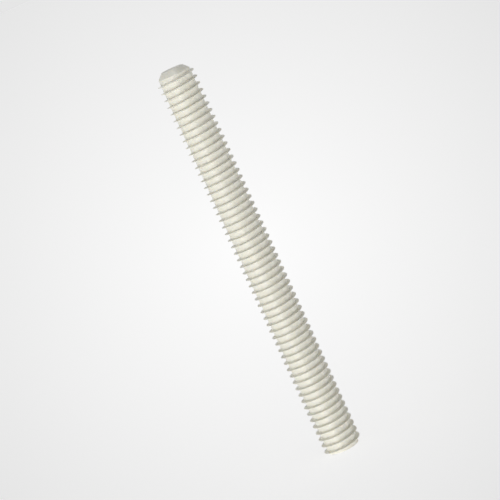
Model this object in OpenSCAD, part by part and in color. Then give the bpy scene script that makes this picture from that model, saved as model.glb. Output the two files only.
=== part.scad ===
// Threaded rod: a one-piece plastic stud with a thread along its whole
// length. Its upper end has a long bevel, and its lower end is cut square
// with a light bevel. Millimetres, real size. The axis is +Z, and the
// origin is the middle of the square lower end.

/* [Rod] */
// length from the square end to the bevelled end
rod_length = 40.6; // [12:0.1:50]
// diameter of the flat left on the bevelled end
end_diameter = 2.15; // [1:0.05:3]
// diameter of the flat left on the square end
foot_diameter = 3.8; // [2.4:0.05:3.8]
// angle of both bevels from the axis
bevel_angle = 45; // [30:1:60]
// radius of the rounding where the long bevel meets the thread
shoulder_radius = 0.4; // [0.1:0.05:0.6]

/* [Thread] */
// diameter over the crests
thread_diameter = 3.9; // [3.6:0.05:4.4]
// distance along the axis from one turn to the next
pitch = 0.7; // [0.6:0.01:0.9]
// height of the ridge, from root to crest
ridge_height = 0.35; // [0.25:0.01:0.45]
// angle between the ridge's two flanks
flank_angle = 24; // [16:1:60]
// width of the flat on the crest
crest_width = 0.04; // [0.03:0.005:0.12]
// height of the lowest whole crest above the square end, at the front
thread_start = 0.39; // [0:0.01:0.7]
// direction in which the thread winds
hand = 1; // [1:Right-hand, -1:Left-hand]

/* [Hidden] */

crest_r = thread_diameter / 2;
root_r = crest_r - ridge_height;
// a flank takes no more of the pitch than leaves a root between the ridges
flank_width = min(ridge_height * tan(flank_angle / 2), (pitch - crest_width) / 2 - 0.02);

// the ridge's corners, each as a height along the axis and a radius
ridge = [
    [-crest_width / 2 - flank_width, root_r],
    [-crest_width / 2, crest_r],
    [crest_width / 2, crest_r],
    [crest_width / 2 + flank_width, root_r]
];
corners = len(ridge);

// the thread runs on past both ends, and the blank's ends cut it off
turns_below = 2;
turns = ceil((rod_length - thread_start) / pitch) + turns_below + 1;
// steps in one turn, fewer on a long rod
most_steps = 24;
most_faces = 11400;
steps = min(most_steps, 4 * floor(most_faces / (8 * corners * (rod_length / pitch + 1))));
last = turns * steps;

// how far the blank stands out past the crests
spare = 0.01;
// facets round the blank, and in the rounding of its shoulder
round_facets = 72;
shoulder_steps = 4;

function thread_point(step, corner) =
    let (angle = hand * 360 * step / steps - 90)
    [
        ridge[corner][1] * cos(angle),
        ridge[corner][1] * sin(angle),
        ridge[corner][0] + thread_start + pitch * (step / steps - turns_below)
    ];

// a point's number in the list of points
function point_at(step, corner) = step * corners + corner;

// the thread before its ends are cut: the ridge, carried along the screw line
module thread_body() {
    points = [
        for (step = [0 : last]) for (corner = [0 : corners - 1])
            thread_point(step, corner)
    ];
    low_middle = len(points);
    high_middle = low_middle + 1;
    middles = [
        [0, 0, thread_start - pitch * (turns_below + 1)],
        [0, 0, thread_start + pitch * (turns - turns_below + 1)]
    ];

    // the crest and both flanks, two triangles to a step
    ridge_faces = [
        for (step = [0 : last - 1]) for (corner = [0 : corners - 2]) for (half = [0, 1])
            half == 0
                ? [point_at(step, corner), point_at(step + 1, corner + 1), point_at(step + 1, corner)]
                : [point_at(step, corner), point_at(step, corner + 1), point_at(step + 1, corner + 1)]
    ];
    // the root, from the top of one turn's ridge to the foot of the next
    root_faces = [
        for (step = [0 : last - steps - 1]) for (half = [0, 1])
            let (top = point_at(step, corners - 1), foot = point_at(step + steps, 0))
            half == 0
                ? [top, foot + corners, top + corners]
                : [top, foot, foot + corners]
    ];
    low_faces = concat(
        [for (step = [0 : steps - 1]) [low_middle, point_at(step, 0), point_at(step + 1, 0)]],
        [for (corner = [0 : corners - 2]) [low_middle, point_at(0, corner + 1), point_at(0, corner)]],
        [[low_middle, point_at(steps, 0), point_at(0, corners - 1)]]
    );
    high_faces = concat(
        [
            for (step = [last - steps : last - 1])
                [high_middle, point_at(step + 1, corners - 1), point_at(step, corners - 1)]
        ],
        [for (corner = [0 : corners - 2]) [high_middle, point_at(last, corner), point_at(last, corner + 1)]],
        [[high_middle, point_at(last - steps, corners - 1), point_at(last, 0)]]
    );

    polyhedron(
        points = concat(points, middles),
        // a left-hand thread is the mirror image, so its faces are turned over
        faces = [
            for (face = concat(ridge_faces, root_faces, low_faces, high_faces))
                hand > 0 ? face : [face[0], face[2], face[1]]
        ],
        convexity = 10
    );
}

// the blank that the thread is cut on, with both ends bevelled
module blank() {
    blank_r = crest_r + spare;
    foot_r = min(foot_diameter / 2, crest_r);
    foot_height = (blank_r - foot_r) / tan(bevel_angle);
    bevel_height = (blank_r - end_diameter / 2) / tan(bevel_angle);
    // middle of the rounding, which touches the side and the long bevel
    round_z = rod_length - bevel_height - shoulder_radius * tan(bevel_angle / 2);
    shoulder = [
        for (step = [0 : shoulder_steps])
            let (turned = bevel_angle * step / shoulder_steps)
            [
                blank_r - shoulder_radius * (1 - cos(turned)),
                round_z + shoulder_radius * sin(turned)
            ]
    ];
    rotate_extrude($fn = round_facets)
        polygon(concat(
            [[0, 0], [foot_r, 0], [blank_r, foot_height]],
            shoulder,
            [[end_diameter / 2, rod_length], [0, rod_length]]
        ));
}

module threaded_rod() {
    color([0.93, 0.92, 0.87])
        intersection() {
            thread_body();
            blank();
        }
}

threaded_rod();
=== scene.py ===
# Threaded rod: a natural nylon stud that stands on its square end.
# Metres, +Z along the rod, -Y towards the camera.
import math
import bpy
import bmesh
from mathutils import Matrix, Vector


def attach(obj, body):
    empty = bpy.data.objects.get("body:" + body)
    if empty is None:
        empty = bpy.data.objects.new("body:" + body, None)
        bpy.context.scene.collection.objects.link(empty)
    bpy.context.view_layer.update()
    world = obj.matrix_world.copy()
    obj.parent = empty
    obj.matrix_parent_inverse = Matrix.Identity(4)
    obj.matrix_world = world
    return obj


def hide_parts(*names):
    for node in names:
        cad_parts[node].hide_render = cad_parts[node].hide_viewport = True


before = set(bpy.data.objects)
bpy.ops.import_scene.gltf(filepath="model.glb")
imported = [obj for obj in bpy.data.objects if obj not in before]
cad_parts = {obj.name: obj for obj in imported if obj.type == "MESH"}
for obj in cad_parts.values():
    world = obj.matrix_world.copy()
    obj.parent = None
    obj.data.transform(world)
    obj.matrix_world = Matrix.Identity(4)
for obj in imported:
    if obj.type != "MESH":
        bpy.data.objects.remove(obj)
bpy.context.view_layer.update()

scene = bpy.context.scene
scene.view_settings.view_transform = "Standard"

# where the photo's camera stood, seen from the middle of the bevelled end
photoCamera = {
    "fromTopEnd": (-0.000105, -0.185394, 0.014471),
    "turn": (1.374982, 0.419792, -0.079419),
    "lens": 141.18,
    "sensor": 36,
    "shift": (-0.001, 0.001),
    "clip": (0.01, 20),
}

# the rod and its thread as the CAD has them, with the small roundings added here
rod = {
    "length": 0.0406,
    "endDiameter": 0.00215,
    "bevelAngle": 45,
    "threadDiameter": 0.0039,
    "pitch": 0.0007,
    "ridgeHeight": 0.00035,
    "flankAngle": 24,
    "crestWidth": 0.00004,
    "threadStart": 0.00039,
    "footDiameter": 0.0038,
    "cornerRound": 0.00001,  # on the ridge's corners
    "rimRound": 0.00003,  # where the long bevel meets the end face
    "shoulderRound": 0.00016,  # where the long bevel meets the thread
    "blankSpare": 0.00001,  # how far the blank stands out past the crests
    "endSpare": 0.0001,  # how far the thread runs on past the blank's ends
    "stepsPerTurn": 96,
    "blankSteps": 192,
}

# how near two points are merged or lie on a cut, in metres, which edges stay
# sharp, in degrees, and how far up or down a normal points on a flat end
meshing = {"merge": 1e-7, "onCut": 1e-8, "sharpAngle": 35, "flatEnd": 0.999}


def finishedObject(mesh, name):
    bmesh.ops.recalc_face_normals(mesh, faces=mesh.faces)
    data = bpy.data.meshes.new(name)
    mesh.to_mesh(data)
    mesh.free()
    data.shade_smooth()
    data.set_sharp_from_angle(angle=math.radians(meshing["sharpAngle"]))
    piece = bpy.data.objects.new(name, data)
    scene.collection.objects.link(piece)
    return piece


def wire(mesh, points):
    # an open line of edges through the points
    corners = [mesh.verts.new(point) for point in points]
    for first, second in zip(corners, corners[1:]):
        mesh.edges.new((first, second))
    return corners


def threadMesh(size):
    # one pitch of the ridge, drawn at the front and swept along the screw line
    pitch = size["pitch"]
    crestRadius = size["threadDiameter"] / 2
    rootRadius = crestRadius - size["ridgeHeight"]
    halfCrest = size["crestWidth"] / 2
    halfFoot = halfCrest + size["ridgeHeight"] * math.tan(math.radians(size["flankAngle"] / 2))
    mesh = bmesh.new()
    corners = wire(mesh, [
        (0, -rootRadius, -pitch / 2),
        (0, -rootRadius, -halfFoot),
        (0, -crestRadius, -halfCrest),
        (0, -crestRadius, halfCrest),
        (0, -rootRadius, halfFoot),
        (0, -rootRadius, pitch / 2),
    ])
    bmesh.ops.bevel(mesh, geom=corners[1:-1], offset=size["cornerRound"], offset_type="OFFSET",
                    segments=2, profile=0.5, affect="VERTICES", material=-1)
    steps = size["stepsPerTurn"]
    bmesh.ops.spin(mesh, geom=mesh.verts[:] + mesh.edges[:], cent=(0, 0, 0), axis=(0, 0, 1),
                   dvec=(0, 0, pitch / steps), angle=2 * math.pi, steps=steps, use_merge=False)
    # the other turns are copies of that one, each a pitch higher
    oneTurn = mesh.verts[:] + mesh.edges[:] + mesh.faces[:]
    turnsBelow, turnsAbove = 2, 1
    turns = math.ceil(size["length"] / pitch) + turnsBelow + turnsAbove
    for turn in range(1, turns):
        copied = bmesh.ops.duplicate(mesh, geom=oneTurn)["geom"]
        raised = [part for part in copied if isinstance(part, bmesh.types.BMVert)]
        bmesh.ops.translate(mesh, verts=raised, vec=(0, 0, pitch * turn))
    start = size["threadStart"] - turnsBelow * pitch
    bmesh.ops.translate(mesh, verts=mesh.verts, vec=(0, 0, start))
    bmesh.ops.remove_doubles(mesh, verts=mesh.verts, dist=meshing["merge"])
    # both ends are cut a little outside the rod and closed
    for height, side in ((-size["endSpare"], -1), (size["length"] + size["endSpare"], 1)):
        everything = mesh.verts[:] + mesh.edges[:] + mesh.faces[:]
        cut = bmesh.ops.bisect_plane(mesh, geom=everything, dist=meshing["onCut"],
                                     plane_co=(0, 0, height), plane_no=(0, 0, side),
                                     clear_outer=True)["geom_cut"]
        rim = [part for part in cut if isinstance(part, bmesh.types.BMEdge)]
        bmesh.ops.edgeloop_fill(mesh, edges=rim)
    return mesh


def blankMesh(size):
    # the blank that the thread is cut on: a long bevel above and a light one below
    outside = size["threadDiameter"] / 2 + size["blankSpare"]
    endRadius = size["endDiameter"] / 2
    footRadius = size["footDiameter"] / 2
    slope = math.tan(math.radians(size["bevelAngle"]))
    mesh = bmesh.new()
    corners = wire(mesh, [
        (0, 0, 0),
        (0, -footRadius, 0),
        (0, -outside, (outside - footRadius) / slope),
        (0, -outside, size["length"] - (outside - endRadius) / slope),
        (0, -endRadius, size["length"]),
        (0, 0, size["length"]),
    ])
    shoulder, rim = corners[3:5]
    for corner, offset, segments in ((rim, size["rimRound"], 2),
                                     (shoulder, size["shoulderRound"], 6)):
        bmesh.ops.bevel(mesh, geom=[corner], offset=offset, offset_type="OFFSET",
                        segments=segments, profile=0.5, affect="VERTICES", material=-1)
    bmesh.ops.spin(mesh, geom=mesh.verts[:] + mesh.edges[:], cent=(0, 0, 0), axis=(0, 0, 1),
                   dvec=(0, 0, 0), angle=2 * math.pi, steps=size["blankSteps"], use_merge=True)
    bmesh.ops.remove_doubles(mesh, verts=mesh.verts, dist=meshing["merge"])
    return mesh


def cutTo(piece, cutter):
    # keeps what both shapes share, and takes the cutter away
    trim = piece.modifiers.new("ends", "BOOLEAN")
    trim.operation = "INTERSECT"
    trim.solver = "EXACT"
    trim.object = cutter
    bpy.context.view_layer.update()
    seen = piece.evaluated_get(bpy.context.evaluated_depsgraph_get())
    cut = bpy.data.meshes.new_from_object(seen)
    cut.set_sharp_from_angle(angle=math.radians(meshing["sharpAngle"]))
    for face in cut.polygons:
        if abs(face.normal.z) > meshing["flatEnd"]:
            face.use_smooth = False
    piece.modifiers.clear()
    old = piece.data
    piece.data = cut
    bpy.data.meshes.remove(old)
    bpy.data.objects.remove(cutter)
    piece.data.name = piece.name


def worked(tree, kind, operation, values, result):
    # the output of a new node that works on values or on other nodes' outputs
    node = tree.nodes.new(kind)
    node.operation = operation
    for socket, value in zip(node.inputs, values):
        if isinstance(value, bpy.types.NodeSocket):
            tree.links.new(value, socket)
        else:
            socket.default_value = value
    return node.outputs[result]


def numbers(tree, operation, *values):
    return worked(tree, "ShaderNodeMath", operation, values, "Value")


def vectors(tree, operation, *values, result="Vector"):
    return worked(tree, "ShaderNodeVectorMath", operation, values, result)


def directRays(tree, light):
    # 1 where the eye sees a surface straight, mirrored or through glass, else 0
    mirrored = numbers(tree, "MAXIMUM", light.outputs["Is Glossy Ray"],
                       light.outputs["Is Transmission Ray"])
    return numbers(tree, "MAXIMUM", light.outputs["Is Camera Ray"], mirrored)


def addSocket(group, name, side, kind="NodeSocketFloat"):
    group.interface.new_socket(name=name, in_out=side, socket_type=kind)


def grainGroup(broadShare):
    # fine unevenness of cut nylon: a height for a bump, and a mask for colour
    # whose scale is a share of the height's
    group = bpy.data.node_groups.new("fineGrain", "ShaderNodeTree")
    addSocket(group, "Vector", "INPUT", "NodeSocketVector")
    addSocket(group, "Scale", "INPUT")
    addSocket(group, "Height", "OUTPUT")
    addSocket(group, "Mask", "OUTPUT")
    nodes, links = group.nodes, group.links
    given = nodes.new("NodeGroupInput")
    result = nodes.new("NodeGroupOutput")
    fine = nodes.new("ShaderNodeTexNoise")
    fine.inputs["Detail"].default_value = 3
    broad = nodes.new("ShaderNodeTexNoise")
    broad.inputs["Detail"].default_value = 1
    broadScale = numbers(group, "MULTIPLY", given.outputs["Scale"], broadShare)
    links.new(given.outputs["Vector"], fine.inputs["Vector"])
    links.new(given.outputs["Scale"], fine.inputs["Scale"])
    links.new(given.outputs["Vector"], broad.inputs["Vector"])
    links.new(broadScale, broad.inputs["Scale"])
    links.new(fine.outputs["Fac"], result.inputs["Height"])
    links.new(broad.outputs["Fac"], result.inputs["Mask"])
    return group


def rubGroup():
    # a mask that rises from 0 at the root to 1 at the crests, where a nut rubs
    group = bpy.data.node_groups.new("nutRub", "ShaderNodeTree")
    addSocket(group, "Vector", "INPUT", "NodeSocketVector")
    addSocket(group, "Root Radius", "INPUT")
    addSocket(group, "Crest Radius", "INPUT")
    addSocket(group, "Mask", "OUTPUT")
    nodes, links = group.nodes, group.links
    given = nodes.new("NodeGroupInput")
    result = nodes.new("NodeGroupOutput")
    flat = vectors(group, "MULTIPLY", given.outputs["Vector"], (1, 1, 0))
    radius = vectors(group, "LENGTH", flat, result="Value")
    rise = nodes.new("ShaderNodeMapRange")
    links.new(radius, rise.inputs["Value"])
    links.new(given.outputs["Root Radius"], rise.inputs["From Min"])
    links.new(given.outputs["Crest Radius"], rise.inputs["From Max"])
    links.new(rise.outputs["Result"], result.inputs["Mask"])
    return group


def placed(nodes, group):
    node = nodes.new("ShaderNodeGroup")
    node.node_tree = group
    return node


# natural nylon, as cut: warm off-white and satin, a little smoother on the crests
nylonLook = {
    "colour": (0.865, 0.85, 0.76, 1),
    "deepColour": (0.845, 0.825, 0.725, 1),
    "rootRoughness": 0.4,
    "crestRoughness": 0.32,
    "grainScale": 6000,
    "broadShare": 0.2,
    "grainDepth": 0.000002,
    "ior": 1.53,
    "glow": 0.15,
    "glowDepth": 0.0003,
    "glowColour": (1, 0.85, 0.6),
}


def nylonMaterial(look, size, grain, rub):
    material = bpy.data.materials.new("naturalNylon")
    material.use_nodes = True
    nodes, links = material.node_tree.nodes, material.node_tree.links
    plastic = nodes["Principled BSDF"]
    plastic.inputs["IOR"].default_value = look["ior"]
    plastic.inputs["Subsurface Weight"].default_value = look["glow"]
    plastic.inputs["Subsurface Radius"].default_value = look["glowColour"]
    plastic.inputs["Subsurface Scale"].default_value = look["glowDepth"]
    place = nodes.new("ShaderNodeTexCoord")
    grainNode = placed(nodes, grain)
    grainNode.inputs["Scale"].default_value = look["grainScale"]
    rubNode = placed(nodes, rub)
    crestRadius = size["threadDiameter"] / 2
    rubNode.inputs["Root Radius"].default_value = crestRadius - size["ridgeHeight"]
    rubNode.inputs["Crest Radius"].default_value = crestRadius
    links.new(place.outputs["Object"], grainNode.inputs["Vector"])
    links.new(place.outputs["Object"], rubNode.inputs["Vector"])
    tint = nodes.new("ShaderNodeMix")
    tint.data_type = "RGBA"
    share, deep, pale, mixed = tint.inputs[0], tint.inputs[6], tint.inputs[7], tint.outputs[2]
    deep.default_value = look["deepColour"]
    pale.default_value = look["colour"]
    links.new(grainNode.outputs["Mask"], share)
    links.new(mixed, plastic.inputs["Base Color"])
    gloss = nodes.new("ShaderNodeMapRange")
    gloss.inputs["To Min"].default_value = look["rootRoughness"]
    gloss.inputs["To Max"].default_value = look["crestRoughness"]
    links.new(rubNode.outputs["Mask"], gloss.inputs["Value"])
    links.new(gloss.outputs["Result"], plastic.inputs["Roughness"])
    bump = nodes.new("ShaderNodeBump")
    bump.inputs["Distance"].default_value = look["grainDepth"]
    links.new(grainNode.outputs["Height"], bump.inputs["Height"])
    links.new(bump.outputs["Normal"], plastic.inputs["Normal"])
    return material


# the pale surface under the rod, brightest in the middle of the photo's view
table = {
    "halfWidth": 3,
    "white": 0.8,
    "whiteSeen": 0.3,
    "lit": 0.126,  # what the lamps and room add to the seen white, taken off the glow
    # painted light: middle, fall and far shape a pool of light painted on the table, brightest
    # in the middle of the view
    "middle": 0.985,
    "fall": 1.1,
    "far": 0.79,
    "nearest": 0.001,  # metres from the camera, so that nothing is divided by 0
}


def tableMaterial(look, eye, gaze):
    # the floor is a matt white to the lamps. The camera sees most of its white as a glow with
    # painted light in it, a painted pool of light brightest in the middle of its view, with the
    # rod's shadow over the lit rest.
    material = bpy.data.materials.new("paleTable")
    material.use_nodes = True
    tree = material.node_tree
    nodes, links = tree.nodes, tree.links
    nodes.clear()
    # painted light: the glow is a painted pool of light that falls off with the angle from the
    # middle of the camera's view
    place = nodes.new("ShaderNodeTexCoord")
    fromEye = vectors(tree, "SUBTRACT", place.outputs["Object"], eye)
    across = vectors(tree, "CROSS_PRODUCT", fromEye, gaze)
    aside = vectors(tree, "LENGTH", across, result="Value")
    along = vectors(tree, "DOT_PRODUCT", fromEye, gaze, result="Value")
    slope = numbers(tree, "DIVIDE", aside, numbers(tree, "MAXIMUM", along, look["nearest"]))
    dimmed = numbers(tree, "MULTIPLY", slope, look["fall"])
    paintedPool = numbers(tree, "SUBTRACT", look["middle"], dimmed)
    paintedPool = numbers(tree, "MAXIMUM", paintedPool, look["far"])

    light = nodes.new("ShaderNodeLightPath")
    seen = directRays(tree, light)
    darker = numbers(tree, "MULTIPLY", seen, look["whiteSeen"] - look["white"])
    matt = nodes.new("ShaderNodeBsdfDiffuse")
    links.new(numbers(tree, "ADD", darker, look["white"]), matt.inputs["Color"])
    glowing = numbers(tree, "SUBTRACT", paintedPool, look["lit"])
    glow = nodes.new("ShaderNodeEmission")
    links.new(numbers(tree, "MULTIPLY", seen, glowing), glow.inputs["Strength"])
    whole = nodes.new("ShaderNodeAddShader")
    links.new(matt.outputs[0], whole.inputs[0])
    links.new(glow.outputs[0], whole.inputs[1])
    # from below the table is see-through, so the square end can be looked at
    back = nodes.new("ShaderNodeNewGeometry")
    clear = nodes.new("ShaderNodeBsdfTransparent")
    oneWay = nodes.new("ShaderNodeMixShader")
    below = numbers(tree, "MULTIPLY", back.outputs["Backfacing"], light.outputs["Is Camera Ray"])
    links.new(below, oneWay.inputs[0])
    links.new(whole.outputs[0], oneWay.inputs[1])
    links.new(clear.outputs[0], oneWay.inputs[2])
    result = nodes.new("ShaderNodeOutputMaterial")
    links.new(oneWay.outputs[0], result.inputs["Surface"])
    return material


# lamps: where each one stands as seen from the rod, its strength and softness
lamps = {
    "key": {"from": (-0.48, -0.84, -0.26), "strength": 1.9, "softness": 0.8},
    "left": {"from": (-0.98, 0.0, 0.1), "strength": 0.3, "softness": 0.5},
    "right": {"from": (0.97, 0.0, -0.26), "strength": 0.79, "softness": 0.5},
    "overhead": {"from": (0.0, -0.05, 1.0), "strength": 0.57, "softness": 0.3},
    "behind": {"from": (0.25, 1.0, -0.25), "strength": 1.1, "softness": 0.5},
}

# the room's light on the rod, and how white the camera and reflections see it
room = {"strength": 0.23, "seen": 0.79}


def addLamp(name, values):
    lamp = bpy.data.lights.new(name, "SUN")
    lamp.energy = values["strength"]
    lamp.angle = values["softness"]
    holder = bpy.data.objects.new(name, lamp)
    holder.rotation_euler = (-Vector(values["from"])).to_track_quat("-Z", "Y").to_euler()
    scene.collection.objects.link(holder)


def addRoom(values):
    world = bpy.data.worlds.new("room")
    scene.world = world
    world.use_nodes = True
    tree = world.node_tree
    nodes, links = tree.nodes, tree.links
    air = nodes["Background"]
    level = nodes.new("ShaderNodeMapRange")
    level.inputs["To Min"].default_value = values["strength"]
    level.inputs["To Max"].default_value = values["seen"]
    links.new(directRays(tree, nodes.new("ShaderNodeLightPath")), level.inputs["Value"])
    links.new(level.outputs["Result"], air.inputs["Strength"])
    air.inputs["Color"].default_value = (1, 1, 1, 1)


# camera
camera = bpy.data.objects.new("camera", bpy.data.cameras.new("camera"))
scene.collection.objects.link(camera)
camera.location = Vector(photoCamera["fromTopEnd"]) + Vector((0, 0, rod["length"]))
camera.rotation_euler = photoCamera["turn"]
camera.data.sensor_width = photoCamera["sensor"]
camera.data.lens = photoCamera["lens"]
camera.data.shift_x, camera.data.shift_y = photoCamera["shift"]
camera.data.clip_start, camera.data.clip_end = photoCamera["clip"]
scene.camera = camera
print("camera placed")

# the rod
rodPiece = finishedObject(threadMesh(rod), "rod")
cutTo(rodPiece, finishedObject(blankMesh(rod), "blank"))
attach(rodPiece, "root")
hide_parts("threaded_rod")
rodPiece.data.materials.clear()
grain = grainGroup(nylonLook["broadShare"])
rodPiece.data.materials.append(nylonMaterial(nylonLook, rod, grain, rubGroup()))
print("rod made,", len(rodPiece.data.polygons), "faces")

# table, room and lamps
tableMesh = bmesh.new()
bmesh.ops.create_grid(tableMesh, x_segments=1, y_segments=1, size=table["halfWidth"])
tableTop = finishedObject(tableMesh, "table")
gaze = camera.rotation_euler.to_matrix() @ Vector((0, 0, -1))
tableTop.data.materials.append(tableMaterial(table, tuple(camera.location), tuple(gaze)))
tableTop.visible_shadow = False  # the low lamps shine up through it, as on a light table
addRoom(room)
for name, values in lamps.items():
    addLamp(name, values)
print("table and lamps placed")
